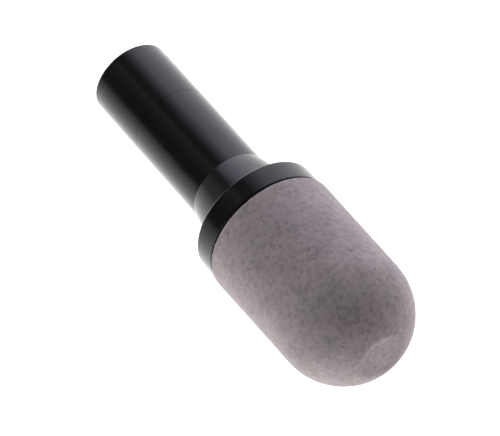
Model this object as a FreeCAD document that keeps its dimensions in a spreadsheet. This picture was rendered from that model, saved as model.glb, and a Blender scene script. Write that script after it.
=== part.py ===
import FreeCAD, Part
import os

import Sketcher
from FreeCAD import Placement, Vector

# Plug-in exhaust silencer for an 8 mm push-in tube fitting, in millimetres.
# It comes apart into two pieces: a hard moulded stem_body, and a porous_cap pressed over its
# barbed spigot.  Both are bodies of revolution about Z.  The origin is the centre of the
# stem's open end, and +Z runs from the stem to the tip of the dome.

DIMENSIONS = [
    # The stem that plugs into the fitting
    ("stem_dia", 8.0),
    ("stem_length", 17.3),
    ("nose_dia", 7.95),
    ("nose_length", 1.65),
    ("nose_round", 0.12),
    ("line_height", 7.2),
    ("line_width", 0.04),
    ("line_depth", 0.04),
    # The flare, the flange, and the low seat in front of it that the cap's foot rests on
    ("flare_dia", 10.1),
    ("flange_dia", 13.1),
    ("flange_back", 21.65),
    ("flange_front", 24.12),
    ("flange_back_round", 0.25),
    ("flange_front_round", 0.15),
    ("seat_dia", 12.5),
    ("seat_height", 0.2),
    # The air passage, which widens behind the flare
    ("bore_dia", 5.6),
    ("bore_lead", 0.3),
    ("chamber_dia", 7.2),
    # The barbed spigot inside the cap
    ("spigot_dia", 9.2),
    ("spigot_length", 7.0),
    ("spigot_lead", 0.4),
    ("barb_start", 1.2),
    ("barb_rise", 0.2),
    ("barb_length", 1.1),
    ("barb_pitch", 1.9),
    ("barb_count", 3),
    # The porous cap
    ("cap_foot_dia", 13.42),
    ("cap_top_dia", 13.3),
    ("cap_side", 11.88),
    ("foot_round", 0.12),
    ("socket_gap", 0.02),
    ("dimple_dia", 4.6),
    ("dimple_sink", 0.12),
    ("dimple_slope", 0.25),
]

# Heights and radii that more than one piece uses, as expressions of the sheet's cells
STEM_R = "Size.stem_dia / 2"
FLANGE_R = "Size.flange_dia / 2"
SPIGOT_R = "Size.spigot_dia / 2"
SPIGOT_END = "Size.flange_front + Size.spigot_length"
FIRST_BARB = "Size.flange_front + Size.barb_start"
SOCKET_R = "Size.spigot_dia / 2 + Size.socket_gap"
CAP_TOP_R = "Size.cap_top_dia / 2"
CAP_FOOT = "Size.flange_front + Size.seat_height"
DOME_START = f"{CAP_FOOT} + Size.cap_side"
FULL_TURN = 360
ON_AXIS = "0"


def make_sheet(doc):
    """Put the driving dimensions in a spreadsheet, one alias to a row."""
    sheet = doc.addObject("Spreadsheet::Sheet", "Size")
    for row, (alias, value) in enumerate(DIMENSIONS, start=1):
        sheet.set(f"A{row}", alias)
        sheet.set(f"B{row}", str(value))
        sheet.setAlias(f"B{row}", alias)
    doc.recompute()
    return sheet


def make_body(doc, label):
    """Start a body whose Label names its node, standing on the common origin."""
    body = doc.addObject("PartDesign::Body", label)
    body.Label = label
    body.Placement = Placement()
    return body


def origin_plane(body, role):
    return next(item for item in body.Origin.OriginFeatures if item.Role == role)


def pin_coordinate(sketch, kind, geometry, end, expression):
    """Tie one coordinate of a point to the sheet, or to the sketch's own axis where it is zero."""
    if expression == ON_AXIS:
        axis = -2 if kind == "DistanceX" else -1
        sketch.addConstraint(Sketcher.Constraint("PointOnObject", geometry, end, axis))
        return
    value = float(sketch.evalExpression(expression))
    index = sketch.addConstraint(Sketcher.Constraint(kind, -1, 1, geometry, end, value))
    sketch.setExpression(f"Constraints[{index}]", expression)


def half_section(body, name, corners, dome_after=None):
    """Draw a closed half section on the XZ plane.

    corners are (radius, height) pairs of expressions, in order.  The side that follows the
    corner numbered dome_after is a quarter circle centred on the axis at that corner's height.
    """
    sketch = body.newObject("Sketcher::SketchObject", name)
    sketch.AttachmentSupport = [(origin_plane(body, "XZ_Plane"), "")]
    sketch.MapMode = "FlatFace"
    points = [
        Vector(float(sketch.evalExpression(radius)), float(sketch.evalExpression(height)), 0)
        for radius, height in corners
    ]
    count = len(points)
    for number, start in enumerate(points):
        finish = points[(number + 1) % count]
        if number == dome_after:
            circle = Part.Circle(Vector(0, start.y, 0), Vector(0, 0, 1), start.x)
            quarter = Part.ArcOfCircle(circle, 0, circle.parameter(finish))
            sketch.addGeometry(quarter)
        else:
            sketch.addGeometry(Part.LineSegment(start, finish))
    for number in range(count):
        following = (number + 1) % count
        sketch.addConstraint(Sketcher.Constraint("Coincident", number, 2, following, 1))
    for number, (radius, height) in enumerate(corners):
        pin_coordinate(sketch, "DistanceX", number, 1, radius)
        pin_coordinate(sketch, "DistanceY", number, 1, height)
    if dome_after is not None:
        sketch.addConstraint(Sketcher.Constraint("PointOnObject", dome_after, 3, -2))
    return sketch


def turn(body, feature, name, sketch):
    """Revolve a half section about Z: a Revolution adds material and a Groove removes it."""
    before = body.Shape.Volume if body.Tip else 0.0
    turned = body.newObject(f"PartDesign::{feature}", name)
    turned.Profile = sketch
    turned.ReferenceAxis = (sketch, ["V_Axis"])
    turned.Angle = FULL_TURN
    body.Document.recompute()
    change = body.Shape.Volume - before
    if (change > 0) != (feature == "Revolution"):
        raise ValueError(f"{name} changed the volume of {body.Label} by {change:.3f} mm3")
    return turned


def repeat_up(body, name, feature, sketch, pitch, count):
    """Repeat a feature up the Z axis, and make the pattern the body's tip."""
    pattern = body.newObject("PartDesign::LinearPattern", name)
    pattern.Originals = [feature]
    pattern.Direction = (sketch, ["V_Axis"])
    pattern.setExpression("Length", f"{pitch} * ({count} - 1)")
    pattern.setExpression("Occurrences", count)
    body.Tip = pattern
    body.Document.recompute()
    return pattern


def rims(body, radius, height):
    """Name the full circular edges with this radius at this height."""
    wanted_r = float(body.evalExpression(radius))
    wanted_z = float(body.evalExpression(height))
    names = []
    for number, edge in enumerate(body.Shape.Edges, start=1):
        if edge.Degenerated or not isinstance(edge.Curve, Part.Circle):
            continue
        same_radius = abs(edge.Curve.Radius - wanted_r) < 1e-4
        same_height = abs(edge.Curve.Center.z - wanted_z) < 1e-4
        if same_radius and same_height:
            names.append(f"Edge{number}")
    if not names:
        raise ValueError(f"{body.Label} has no rim of radius {wanted_r} at {wanted_z}")
    return names


def round_rim(body, name, radius, height, size):
    """Fillet one circular rim by the size in a cell of the sheet."""
    base = body.Tip
    edges = rims(body, radius, height)
    fillet = body.newObject("PartDesign::Fillet", name)
    fillet.Base = (base, edges)
    fillet.setExpression("Radius", size)
    body.Document.recompute()
    return fillet


def barb_section(body, name, root, gap):
    """Saw tooth: a square face towards the flange, and a ramp for the cap to slide over."""
    crest = f"{SPIGOT_R} + Size.barb_rise + {gap}"
    square_face = f"{FIRST_BARB} - {gap}"
    ramp_end = f"{FIRST_BARB} + Size.barb_length + {gap}"
    corners = [
        (root, square_face),
        (crest, square_face),
        (f"{SPIGOT_R} + {gap}", ramp_end),
        (root, ramp_end),
    ]
    return half_section(body, name, corners)


def make_stem_body(doc):
    """Stem, flare, flange and barbed spigot: one moulding with an air passage through it."""
    body = make_body(doc, "stem_body")

    outside = half_section(body, "stem_outline", [
        (ON_AXIS, ON_AXIS),
        ("Size.nose_dia / 2", ON_AXIS),
        (STEM_R, "Size.nose_length"),
        (STEM_R, "Size.stem_length"),
        ("Size.flare_dia / 2", "Size.flange_back"),
        (FLANGE_R, "Size.flange_back"),
        (FLANGE_R, "Size.flange_front"),
        ("Size.seat_dia / 2", "Size.flange_front"),
        ("Size.seat_dia / 2", CAP_FOOT),
        (SPIGOT_R, CAP_FOOT),
        (SPIGOT_R, f"{SPIGOT_END} - Size.spigot_lead"),
        (f"{SPIGOT_R} - Size.spigot_lead", SPIGOT_END),
        (ON_AXIS, SPIGOT_END),
    ])
    turn(body, "Revolution", "stem_moulding", outside)

    tooth = barb_section(body, "barb_tooth", f"{SPIGOT_R} - Size.barb_rise", "0")
    barb = turn(body, "Revolution", "barb", tooth)
    repeat_up(body, "barbs", barb, tooth, "Size.barb_pitch", "Size.barb_count")

    passage = half_section(body, "passage_outline", [
        (ON_AXIS, ON_AXIS),
        ("Size.bore_dia / 2 + Size.bore_lead", ON_AXIS),
        ("Size.bore_dia / 2", "Size.bore_lead"),
        ("Size.bore_dia / 2", "Size.stem_length"),
        ("Size.chamber_dia / 2", "Size.flange_back"),
        ("Size.chamber_dia / 2", SPIGOT_END),
        (ON_AXIS, SPIGOT_END),
    ])
    turn(body, "Groove", "air_passage", passage)

    line = half_section(body, "insertion_line_section", [
        (STEM_R, "Size.line_height - Size.line_width / 2"),
        (STEM_R, "Size.line_height + Size.line_width / 2"),
        (f"{STEM_R} - Size.line_depth", "Size.line_height"),
    ])
    turn(body, "Groove", "insertion_line", line)

    round_rim(body, "nose_rounding", "Size.nose_dia / 2", "0", "Size.nose_round")
    round_rim(body, "flange_back_rounding", FLANGE_R, "Size.flange_back", "Size.flange_back_round")
    round_rim(body, "flange_front_rounding", FLANGE_R, "Size.flange_front", "Size.flange_front_round")
    return body


def make_porous_cap(doc):
    """Domed sintered shell, open at its foot, whose straight core takes the barbed spigot."""
    body = make_body(doc, "porous_cap")

    outside = half_section(body, "cap_outline", [
        (ON_AXIS, CAP_FOOT),
        ("Size.cap_foot_dia / 2", CAP_FOOT),
        (CAP_TOP_R, DOME_START),
        (ON_AXIS, f"{DOME_START} + {CAP_TOP_R}"),
    ], dome_after=2)
    turn(body, "Revolution", "domed_blank", outside)

    cavity = half_section(body, "cavity_outline", [
        (ON_AXIS, CAP_FOOT),
        (SOCKET_R, CAP_FOOT),
        (SOCKET_R, DOME_START),
        (ON_AXIS, f"{DOME_START} + {SOCKET_R}"),
    ], dome_after=2)
    turn(body, "Groove", "cavity", cavity)

    seat = barb_section(body, "barb_seat_section", f"{SPIGOT_R} - Size.barb_rise", "Size.socket_gap")
    barb_seat = turn(body, "Groove", "barb_seat", seat)
    repeat_up(body, "barb_seats", barb_seat, seat, "Size.barb_pitch", "Size.barb_count")

    # The tip is flat where the dome is as wide as the dimple, and sinks a little inside that rim.
    tip_rim = f"{DOME_START} + sqrt(({CAP_TOP_R})^2 - (Size.dimple_dia / 2)^2)"
    above_tip = f"{DOME_START} + {CAP_TOP_R} + Size.dimple_sink"
    dimple = half_section(body, "dimple_outline", [
        (ON_AXIS, f"{tip_rim} - Size.dimple_sink"),
        ("Size.dimple_dia / 2 - Size.dimple_slope", f"{tip_rim} - Size.dimple_sink"),
        ("Size.dimple_dia / 2", tip_rim),
        ("Size.dimple_dia / 2", above_tip),
        (ON_AXIS, above_tip),
    ])
    turn(body, "Groove", "tip_dimple", dimple)

    round_rim(body, "foot_rounding", "Size.cap_foot_dia / 2", CAP_FOOT, "Size.foot_round")
    return body


def check(doc, bodies):
    """Stop if any object failed to compute or any piece is not one closed, valid solid."""
    for item in doc.Objects:
        if "Invalid" in item.State or "Error" in item.State:
            raise ValueError(f"{item.Name} failed: {item.State}")
    for body in bodies:
        shape = body.Shape
        if shape.isNull() or not shape.isValid() or len(shape.Solids) != 1:
            raise ValueError(f"{body.Label} is not one valid solid")


def main():
    doc = FreeCAD.newDocument("plug_in_silencer")
    make_sheet(doc)
    bodies = [make_stem_body(doc), make_porous_cap(doc)]
    doc.recompute()
    check(doc, bodies)
    os.makedirs("parts", exist_ok=True)
    for body in bodies:
        body.Shape.exportStep(f"parts/{body.Label}.step")
        box = body.Shape.BoundBox
        print(f"{body.Label}: volume {body.Shape.Volume:.1f} mm3, z {box.ZMin:.2f} to {box.ZMax:.2f}")


main()
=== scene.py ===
"""Looks of the plug-in silencer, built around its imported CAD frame.

Blender works in metres and the sizes below are in millimetres, so MM turns one into the other.
The part stands on the open end of its stem, on the floor at z = 0, with its dome up.
"""

import math

import bpy
import numpy as np
from mathutils import Matrix, Vector, noise


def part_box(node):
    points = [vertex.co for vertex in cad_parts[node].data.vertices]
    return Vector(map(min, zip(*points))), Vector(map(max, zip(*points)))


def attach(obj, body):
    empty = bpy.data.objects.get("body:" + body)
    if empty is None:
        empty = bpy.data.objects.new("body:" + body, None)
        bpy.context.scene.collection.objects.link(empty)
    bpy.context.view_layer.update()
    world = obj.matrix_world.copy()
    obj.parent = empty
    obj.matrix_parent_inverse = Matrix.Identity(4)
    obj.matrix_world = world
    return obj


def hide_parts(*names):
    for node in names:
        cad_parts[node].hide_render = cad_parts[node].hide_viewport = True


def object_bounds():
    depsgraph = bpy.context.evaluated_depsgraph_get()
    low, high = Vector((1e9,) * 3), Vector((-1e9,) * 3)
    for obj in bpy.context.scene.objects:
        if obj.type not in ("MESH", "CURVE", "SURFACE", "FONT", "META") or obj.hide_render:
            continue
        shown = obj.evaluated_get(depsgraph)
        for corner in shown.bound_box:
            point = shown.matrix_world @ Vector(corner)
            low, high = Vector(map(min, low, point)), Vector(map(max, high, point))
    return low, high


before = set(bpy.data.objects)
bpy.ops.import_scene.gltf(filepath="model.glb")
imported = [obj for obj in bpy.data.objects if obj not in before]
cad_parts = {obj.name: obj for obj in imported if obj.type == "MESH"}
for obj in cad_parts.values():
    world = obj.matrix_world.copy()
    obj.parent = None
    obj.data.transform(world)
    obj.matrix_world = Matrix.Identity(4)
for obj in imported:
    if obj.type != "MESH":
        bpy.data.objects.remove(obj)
cad_low, cad_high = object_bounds()

MM = 0.001
BODY = "root"
SEED = 7

# --- the camera: a long lens above the flange ------------------------------------------------------
AIM = Vector((0.475, 0.0, 21.34))
DISTANCE = 464.5
ELEVATION = math.radians(34.78)
ROLL = math.radians(138.13)
LENS = 360.0
SENSOR = 36.0
NEAREST = 10.0
FARTHEST = 10000.0

# --- the cap; its foot, top and width come from the CAD node ---------------------------------------
CAP_LOW, CAP_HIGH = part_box("porous_cap")
CAP_FOOT = CAP_LOW.z / MM
CAP_TOP = CAP_HIGH.z / MM
CAP_R = CAP_HIGH.x / MM
CAP_DRAFT = 0.06
FOOT_ROUND = 0.1
DIMPLE_R = 2.32
DIMPLE_SINK = 0.11
DIMPLE_SLOPE = 0.5
DOME_R = CAP_R - CAP_DRAFT
DOME_START = CAP_TOP - math.sqrt(DOME_R**2 - DIMPLE_R**2)

# --- the cap's hollow core, with a seat for each of the stem's barbs -------------------------------
CORE_R = 4.62
# How far the core's top point stands above the ring round it
CORE_CROWN = 0.02
SEAT_COUNT = 3
SEAT_START = 0.98
SEAT_LENGTH = 1.14
SEAT_RISE = 0.2
SEAT_PITCH = 1.9

# --- how far apart the cap's points are ------------------------------------------------------------
SPACING = 0.1
FOOT_SPACING = 0.25
CORE_SPACING = 0.5
SIDE_SOFTENING = 2
TIP_SOFTENING = 10

# --- the grain of the cap: fused beads, broad lumps and scattered pits -----------------------------
BEAD = 0.34
BEAD_STEEPNESS = 1.6
BEAD_RELIEF = 0.011
# How much the gaps between beads count as hollow, which the cap's material darkens as painted shade
BEAD_HOLLOW = 0.3
LUMP = 1.5
LUMP_RELIEF = 0.014
PIT_CELL = 0.85
PIT_R = 0.17
PIT_USUAL = 0.4
PIT_VARIATION = 0.7
PIT_DEPTH = 0.07
# The foot's face has no grain up to this height
PLAIN_FOOT = 0.02


# --- camera ----------------------------------------------------------------------------------------
def make_camera():
    """Look at the part from above the -Y side, rolled so that its axis runs down to the right."""
    back = Vector((0.0, -math.cos(ELEVATION), math.sin(ELEVATION)))
    data = bpy.data.cameras.new("camera")
    data.lens = LENS
    data.sensor_width = SENSOR
    data.clip_start = NEAREST * MM
    data.clip_end = FARTHEST * MM
    camera = bpy.data.objects.new("camera", data)
    place = Matrix.Translation(AIM * MM + back * DISTANCE * MM)
    upright = (-back).to_track_quat("-Z", "Y").to_matrix().to_4x4()
    camera.matrix_world = place @ upright @ Matrix.Rotation(ROLL, 4, "Z")
    bpy.context.scene.collection.objects.link(camera)
    bpy.context.scene.camera = camera


# --- node helpers ----------------------------------------------------------------------------------
# A Mix node has its colour sockets at these places
MIX_A = 6
MIX_B = 7
MIX_RESULT = 2


def add(tree, kind, **values):
    """Add a node, setting its attributes and, by name or number, its input sockets."""
    node = tree.nodes.new(kind)
    for key, value in values.items():
        if key == "inputs":
            for socket, number in value.items():
                node.inputs[socket].default_value = number
        else:
            setattr(node, key, value)
    return node


def join(tree, source, target):
    """Link an output socket to an input socket."""
    tree.links.new(source, target)


def remap(tree, source, given, wanted=(0.0, 1.0), interpolation="LINEAR"):
    """Turn the given range of a value into the wanted one, holding it at both ends."""
    node = add(tree, "ShaderNodeMapRange", interpolation_type=interpolation)
    node.inputs["From Min"].default_value, node.inputs["From Max"].default_value = given
    node.inputs["To Min"].default_value, node.inputs["To Max"].default_value = wanted
    join(tree, source, node.inputs["Value"])
    return node.outputs["Result"]


def noise_at(tree, place, size_mm, detail=2.0, roughness=0.5):
    """Smooth noise whose blobs are about size_mm across."""
    numbers = {"Scale": 1 / (size_mm * MM), "Detail": detail, "Roughness": roughness}
    node = add(tree, "ShaderNodeTexNoise", inputs=numbers)
    join(tree, place, node.inputs["Vector"])
    return node.outputs["Fac"]


def bump_from(tree, height, strength, distance_mm):
    """A bump that follows a height."""
    node = add(tree, "ShaderNodeBump", inputs={"Strength": strength, "Distance": distance_mm * MM})
    join(tree, height, node.inputs["Height"])
    return node


# --- studio ----------------------------------------------------------------------------------------
# A white tent with a wide dark opening on the camera's side and a narrow one at the back.  Each row
# is a compass direction, a brightness and how blue it is.  Directions are in degrees round the part
# from the camera's side, positive towards -X.  The five tables are for light from well under the
# part, from below the horizon, level with it, above it and from overhead.
TENT_UNDER = [
    (-180, 0.12, 0.0),
    (-176, 0.12, 0.0),
    (-165, 1.90, 0.0),
    (-128, 1.90, 0.0),
    (-96, 1.30, 0.0),
    (-68, 0.60, 0.0),
    (-58, 0.29, 0.0),
    (-41, 0.34, 0.0),
    (-28, 0.28, 0.0),
    (-12, 0.13, 0.0),
    (3, 0.13, 0.0),
    (12, 0.42, 0.6),
    (18, 0.70, 1.0),
    (41, 1.25, 1.2),
    (60, 1.60, 1.2),
    (90, 1.90, 0.5),
    (165, 1.90, 0.0),
    (176, 0.12, 0.0),
    (180, 0.12, 0.0),
]
TENT_BELOW = [
    (-180, 0.12, 0.0),
    (-176, 0.12, 0.0),
    (-165, 1.90, 0.0),
    (-128, 1.90, 0.0),
    (-96, 1.25, 0.0),
    (-69, 0.48, 0.0),
    (-61, 0.08, 0.0),
    (-38, 0.07, 0.0),
    (-9, 0.19, 0.0),
    (-2, 0.28, 0.0),
    (6, 0.13, 0.2),
    (21, 0.10, 0.6),
    (36, 0.50, 1.0),
    (58, 1.36, 1.0),
    (90, 1.65, 0.8),
    (125, 1.68, 0.2),
    (165, 1.90, 0.0),
    (176, 0.12, 0.0),
    (180, 0.12, 0.0),
]
TENT_LEVEL = [
    (-180, 0.12, 0.0),
    (-155, 0.12, 0.0),
    (-130, 1.45, 0.0),
    (-105, 2.20, 0.0),
    (-60, 2.20, 0.0),
    (-30, 1.04, 0.0),
    (0, 0.03, 0.0),
    (30, 0.06, 0.0),
    (60, 1.15, 0.3),
    (90, 1.95, 0.3),
    (105, 1.60, 0.0),
    (130, 0.95, 0.0),
    (155, 0.12, 0.0),
    (180, 0.12, 0.0),
]
TENT_ABOVE = [
    (-180, 1.55, 0.0),
    (-155, 1.85, 0.0),
    (-130, 1.85, 0.0),
    (-105, 0.95, 0.0),
    (-90, 0.10, 0.0),
    (-62, 0.01, 0.0),
    (90, 0.01, 0.0),
    (105, 0.05, 0.0),
    (130, 0.65, 0.0),
    (155, 1.25, 0.0),
    (180, 1.55, 0.0),
]
TENT_TOP = [
    (-180, 1.70, 0.0),
    (-155, 1.35, 0.0),
    (-105, 0.12, 0.0),
    (-90, 0.01, 0.0),
    (105, 0.01, 0.0),
    (130, 0.40, 0.0),
    (155, 0.95, 0.0),
    (180, 1.70, 0.0),
]
# Where one table gives way to the next: the blend's two heights, in degrees above the horizon
TENT_BLENDS = [
    (-60, -38, TENT_BELOW),
    (-20, 0, TENT_LEVEL),
    (0, 28, TENT_ABOVE),
    (45, 75, TENT_TOP),
]
BLUE = (-0.05, -0.06, 0.10)
BRIGHTEST = 2.2
BACKDROP = 1.6

FLOOR_R = 2000.0
FLOOR_CORNERS = 96
FLOOR_GREY = 0.9
FLOOR_GLOW = 1.3


def tent_ramp(tree, turn, tent):
    """The tent's colour by compass direction, as a fraction of its brightest."""
    node = tree.nodes.new("ShaderNodeValToRGB")
    elements = node.color_ramp.elements
    while len(elements) < len(tent):
        elements.new(0.5)
    for element, (angle, brightness, blue) in zip(elements, tent):
        element.position = (angle + 180) / 360
        tint = [1 + blue * part for part in BLUE]
        element.color = [brightness / BRIGHTEST * channel for channel in tint] + [1.0]
    join(tree, turn, node.inputs["Fac"])
    return node.outputs["Color"]


def tent_colour(tree):
    """The tent's colour for every direction, from its tables."""
    direction = add(tree, "ShaderNodeTexCoord")
    turned = add(tree, "ShaderNodeVectorMath", operation="SCALE", inputs={"Scale": -1.0})
    join(tree, direction.outputs["Generated"], turned.inputs[0])
    split = add(tree, "ShaderNodeSeparateXYZ")
    join(tree, turned.outputs["Vector"], split.inputs[0])
    compass = add(tree, "ShaderNodeMath", operation="ARCTAN2")
    join(tree, split.outputs["X"], compass.inputs[0])
    join(tree, split.outputs["Y"], compass.inputs[1])
    turn = remap(tree, compass.outputs[0], (-math.pi, math.pi))
    depth = add(tree, "ShaderNodeMath", operation="ARCSINE")
    join(tree, split.outputs["Z"], depth.inputs[0])

    colour = tent_ramp(tree, turn, TENT_UNDER)
    for start, end, tent in TENT_BLENDS:
        limits = (math.radians(-start), math.radians(-end))
        share = remap(tree, depth.outputs[0], limits, interpolation="SMOOTHSTEP")
        blend = add(tree, "ShaderNodeMix", data_type="RGBA")
        join(tree, share, blend.inputs["Factor"])
        join(tree, colour, blend.inputs[MIX_A])
        join(tree, tent_ramp(tree, turn, tent), blend.inputs[MIX_B])
        colour = blend.outputs[MIX_RESULT]
    return colour


def make_tent():
    """World light that depends on the direction, with plain white behind the object."""
    world = bpy.data.worlds.new("tent")
    bpy.context.scene.world = world
    world.use_nodes = True
    tree = world.node_tree
    tree.nodes.clear()
    light = add(tree, "ShaderNodeBackground", inputs={"Strength": BRIGHTEST})
    join(tree, tent_colour(tree), light.inputs["Color"])
    plain = add(tree, "ShaderNodeBackground", inputs={"Strength": BACKDROP})
    seen = add(tree, "ShaderNodeLightPath")
    choice = add(tree, "ShaderNodeMixShader")
    join(tree, seen.outputs["Is Camera Ray"], choice.inputs["Fac"])
    join(tree, light.outputs[0], choice.inputs[1])
    join(tree, plain.outputs[0], choice.inputs[2])
    out = add(tree, "ShaderNodeOutputWorld")
    join(tree, choice.outputs[0], out.inputs["Surface"])


def make_floor():
    """A plain white disc under the stem, which only the camera sees, so the tent lights the part."""
    angles = [2 * math.pi * corner / FLOOR_CORNERS for corner in range(FLOOR_CORNERS)]
    rim = [(FLOOR_R * MM * math.cos(angle), FLOOR_R * MM * math.sin(angle), 0.0) for angle in angles]
    mesh = bpy.data.meshes.new("floor")
    mesh.from_pydata(rim, [], [list(range(FLOOR_CORNERS))])
    floor = bpy.data.objects.new("floor", mesh)
    bpy.context.scene.collection.objects.link(floor)
    floor.location.z = cad_low.z
    for ray in ("diffuse", "glossy", "transmission", "shadow"):
        setattr(floor, f"visible_{ray}", False)
    material = bpy.data.materials.new("floor_white")
    material.use_nodes = True
    shader = material.node_tree.nodes["Principled BSDF"]
    shader.inputs["Base Color"].default_value = (FLOOR_GREY, FLOOR_GREY, FLOOR_GREY, 1.0)
    shader.inputs["Roughness"].default_value = 0.9
    shader.inputs["Emission Color"].default_value = (1.0, 1.0, 1.0, 1.0)
    shader.inputs["Emission Strength"].default_value = FLOOR_GLOW
    mesh.materials.append(material)


# --- materials -------------------------------------------------------------------------------------
def new_material(name):
    """A new material with its node tree, its shader and the object's own coordinates."""
    material = bpy.data.materials.new(name)
    material.use_nodes = True
    tree = material.node_tree
    shader = tree.nodes["Principled BSDF"]
    place = add(tree, "ShaderNodeTexCoord").outputs["Object"]
    return material, tree, shader, place


def black_plastic():
    """Glossy black moulded plastic: dusty patches, faint sink marks, fine drag marks lengthwise."""
    material, tree, shader, place = new_material("black_plastic")
    shader.inputs["Base Color"].default_value = (0.0052, 0.0050, 0.0052, 1.0)
    shader.inputs["IOR"].default_value = 1.5
    patches = noise_at(tree, place, 3.0, detail=4.0, roughness=0.6)
    clean_to_dusty = (0.12, 0.20)
    join(tree, remap(tree, patches, (0.3, 0.7), clean_to_dusty), shader.inputs["Roughness"])

    dents = noise_at(tree, place, 5.0, detail=1.0)
    sinks = bump_from(tree, dents, strength=0.25, distance_mm=0.15)
    lengthwise = add(tree, "ShaderNodeMapping", inputs={"Scale": (1.0, 1.0, 0.04)})
    join(tree, place, lengthwise.inputs["Vector"])
    streaks = noise_at(tree, lengthwise.outputs["Vector"], 0.12, detail=3.0)
    drag = bump_from(tree, streaks, strength=0.04, distance_mm=0.02)
    join(tree, sinks.outputs["Normal"], drag.inputs["Normal"])
    join(tree, drag.outputs["Normal"], shader.inputs["Normal"])
    return material


def bead_tone(tree, place):
    """A random number for each fused bead."""
    beads = add(tree, "ShaderNodeTexVoronoi", inputs={"Scale": 1 / (BEAD * MM)})
    join(tree, place, beads.inputs["Vector"])
    split = add(tree, "ShaderNodeSeparateColor")
    join(tree, beads.outputs["Color"], split.inputs["Color"])
    return split.outputs["Red"]


def sintered_plastic():
    """Matt grey fused grains: mottled beads, painted shade in the hollows between them and in the
    pits, and a dusty sheen.
    """
    material, tree, shader, place = new_material("sintered_plastic")
    shader.inputs["Roughness"].default_value = 0.85
    shader.inputs["Sheen Weight"].default_value = 0.7
    shader.inputs["Sheen Tint"].default_value = (1.0, 0.92, 0.93, 1.0)
    shader.inputs["Sheen Roughness"].default_value = 0.5

    # Each row darkens or lightens the grey: a source, its range and the shades for that range
    hollow = add(tree, "ShaderNodeAttribute", attribute_name="hollow")
    shades = [
        (bead_tone(tree, place), (0.0, 0.6), (0.93, 1.02)),
        (noise_at(tree, place, 0.48, detail=0.5), (0.22, 0.58), (0.77, 1.05)),
        (noise_at(tree, place, 2.2, detail=4.0), (0.3, 0.7), (0.895, 1.08)),
        # Painted shade: the grey is darkened in the hollows between the beads and in the pits
        (hollow.outputs["Fac"], (0.0, 1.0), (1.0, 0.52)),
    ]
    grey, *others = [remap(tree, source, given, shade) for source, given, shade in shades]
    for other in others:
        product = add(tree, "ShaderNodeMath", operation="MULTIPLY")
        join(tree, grey, product.inputs[0])
        join(tree, other, product.inputs[1])
        grey = product.outputs[0]

    drift = noise_at(tree, place, 2.5, detail=0.0)
    tint = add(tree, "ShaderNodeMix", data_type="RGBA")
    tint.inputs[MIX_A].default_value = (0.524, 0.434, 0.443, 1.0)
    tint.inputs[MIX_B].default_value = (0.508, 0.439, 0.450, 1.0)
    join(tree, remap(tree, drift, (0.4, 0.6)), tint.inputs["Factor"])
    colour = add(tree, "ShaderNodeVectorMath", operation="SCALE")
    join(tree, tint.outputs[MIX_RESULT], colour.inputs[0])
    join(tree, grey, colour.inputs["Scale"])
    join(tree, colour.outputs["Vector"], shader.inputs["Base Color"])

    dust = noise_at(tree, place, 0.09, detail=3.0, roughness=0.6)
    powder = bump_from(tree, dust, strength=0.25, distance_mm=0.03)
    join(tree, powder.outputs["Normal"], shader.inputs["Normal"])
    return material


# --- outlines of the cap ---------------------------------------------------------------------------
def along(start, end, spacing=SPACING):
    """Points from start up to, but not including, end, about one spacing apart."""
    start, end = np.array(start, float), np.array(end, float)
    steps = max(1, round(float(np.linalg.norm(end - start)) / spacing))
    return [tuple(start + (end - start) * step / steps) for step in range(steps)]


def arc(centre, radius, first, last, spacing=SPACING):
    """Points round part of a circle, from the first angle up to, but not including, the last."""
    steps = max(2, round(abs(math.radians(last - first)) * radius / spacing))
    angles = [math.radians(first + (last - first) * step / steps) for step in range(steps)]
    return [(centre[0] + radius * math.cos(a), centre[1] + radius * math.sin(a)) for a in angles]


def soften(points, rounds):
    """Ease the corners of an outline by averaging each point with its neighbours."""
    line = np.array(points)
    for _ in range(rounds):
        line[1:-1] = (line[:-2] + 2 * line[1:-1] + line[2:]) / 4
    return [tuple(point) for point in line]


def cap_outline():
    """Half section of the cap from the foot round the outside to the tip, as (radius, height)."""
    rim_angle = math.degrees(math.acos(DIMPLE_R / DOME_R))
    dimple_floor = CAP_TOP - DIMPLE_SINK
    side = along((CORE_R, CAP_FOOT), (CAP_R - FOOT_ROUND, CAP_FOOT), FOOT_SPACING)
    side += arc((CAP_R - FOOT_ROUND, CAP_FOOT + FOOT_ROUND), FOOT_ROUND, -90, 0)
    side += along((CAP_R, CAP_FOOT + FOOT_ROUND), (DOME_R, DOME_START))
    tip = arc((0, DOME_START), DOME_R, 0, rim_angle)
    tip += along((DIMPLE_R, CAP_TOP), (DIMPLE_R - DIMPLE_SLOPE, dimple_floor))
    tip += along((DIMPLE_R - DIMPLE_SLOPE, dimple_floor), (SPACING, dimple_floor))
    return soften(side, SIDE_SOFTENING) + soften(tip, TIP_SOFTENING)


def core_outline():
    """Half section of the hollow core, from its dome down past the barbs' seats to the foot."""
    first_step = math.degrees(CORE_SPACING / CORE_R)
    points = arc((0, DOME_START), CORE_R, 90 - first_step, 0, CORE_SPACING)
    corners = [(CORE_R, DOME_START)]
    for seat in reversed(range(SEAT_COUNT)):
        face = CAP_FOOT + SEAT_START + seat * SEAT_PITCH
        corners += [(CORE_R, face + SEAT_LENGTH), (CORE_R + SEAT_RISE, face), (CORE_R, face)]
    corners.append((CORE_R, CAP_FOOT))
    for start, end in zip(corners, corners[1:]):
        points += along(start, end, CORE_SPACING)
    return points


def outward(outline):
    """The direction out of the cap at each point of its outline, as (radius, height)."""
    closed = np.array(outline + [(0.0, outline[-1][1])])
    tangents = np.gradient(closed, axis=0)[:-1]
    normals = np.stack([tangents[:, 1], -tangents[:, 0]], 1)
    return normals / np.linalg.norm(normals, axis=1)[:, None]


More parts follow.
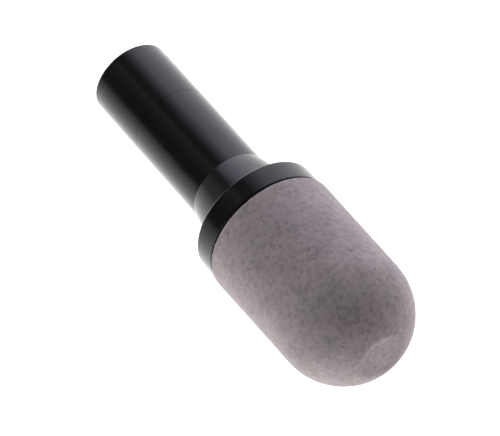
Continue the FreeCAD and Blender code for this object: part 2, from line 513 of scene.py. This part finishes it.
# --- the cap ---------------------------------------------------------------------------------------
SEGMENTS = round(2 * math.pi * CAP_R / SPACING)
TURNS = [2 * math.pi * segment / SEGMENTS for segment in range(SEGMENTS)]


def ring(radius, height):
    """Points once round the axis."""
    return [Vector((radius * math.cos(a), radius * math.sin(a), height)) for a in TURNS]


def strip(first, rings):
    """Quads between neighbouring rings of points."""
    faces = []
    for low in range(first, first + (rings - 1) * SEGMENTS, SEGMENTS):
        high = low + SEGMENTS
        for segment in range(SEGMENTS):
            after = (segment + 1) % SEGMENTS
            faces.append((low + segment, low + after, high + after, high + segment))
    return faces


def grain(point):
    """Relief in mm at a point of the surface, and how deep in a hollow it is, from 0 to 1, for
    painted shade in the cap's colour.
    """
    nearest, second = noise.voronoi(point / BEAD)[0][:2]
    bead = min(1.0, (second - nearest) * BEAD_STEEPNESS)
    lump = noise.noise(point / LUMP)
    distances, places = noise.voronoi(point / PIT_CELL + Vector((SEED, 0, 0)))
    pit_r = PIT_R * (PIT_USUAL + PIT_VARIATION * noise.cell(places[0] * SEED))
    pit = max(0.0, 1.0 - (distances[0] * PIT_CELL / pit_r) ** 2)
    relief = BEAD_RELIEF * (bead - 1.0) + LUMP_RELIEF * (lump - 0.5) - PIT_DEPTH * pit
    return relief, max(BEAD_HOLLOW * (1.0 - bead), pit)


def grained(outline):
    """The outside's rings of points with their grain, and each point's hollow for the painted shade.
    """
    points = []
    hollows = []
    for (radius, height), (out, up) in zip(outline, outward(outline)):
        for point, normal in zip(ring(radius, height), ring(out, up)):
            on_foot = height < CAP_FOOT + PLAIN_FOOT
            relief, hollow = (0.0, 0.0) if on_foot else grain(point)
            points.append(point + normal * relief)
            hollows.append(hollow)
    return points, hollows


def make_cap():
    """The porous cap as one closed shell, with its grain in the outer surface."""
    outside = cap_outline()
    inside = core_outline()
    points, hollows = grained(outside)
    tip = len(points)
    crown = tip + 1
    first_inner = tip + 2
    points.append(Vector((0, 0, outside[-1][1])))
    points.append(Vector((0, 0, inside[0][1] + CORE_CROWN)))
    for radius, height in inside:
        points += ring(radius, height)
    hollows += [0.0] * (len(points) - len(hollows))

    faces = strip(0, len(outside)) + strip(first_inner, len(inside))
    last_outer = tip - SEGMENTS
    last_inner = len(points) - SEGMENTS
    for segment in range(SEGMENTS):
        after = (segment + 1) % SEGMENTS
        faces.append((last_outer + segment, last_outer + after, tip))
        faces.append((crown, first_inner + after, first_inner + segment))
        faces.append((last_inner + segment, last_inner + after, after, segment))

    mesh = bpy.data.meshes.new("cap_shell")
    mesh.from_pydata([point * MM for point in points], [], faces)
    mesh.update()
    mesh.shade_smooth()
    # Each point's hollow, which the cap's material turns into painted shade in the gaps and pits
    values = mesh.attributes.new("hollow", "FLOAT", "POINT")
    values.data.foreach_set("value", hollows)
    cap = bpy.data.objects.new("cap_shell", mesh)
    bpy.context.scene.collection.objects.link(cap)
    mesh.materials.append(sintered_plastic())
    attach(cap, BODY)
    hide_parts("porous_cap")


def dress_stem():
    """Give the CAD's own stem its material."""
    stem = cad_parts["stem_body"]
    stem.data.materials.clear()
    stem.data.materials.append(black_plastic())


make_camera()
make_tent()
make_floor()
make_cap()
dress_stem()
bpy.context.scene.view_settings.view_transform = "Standard"
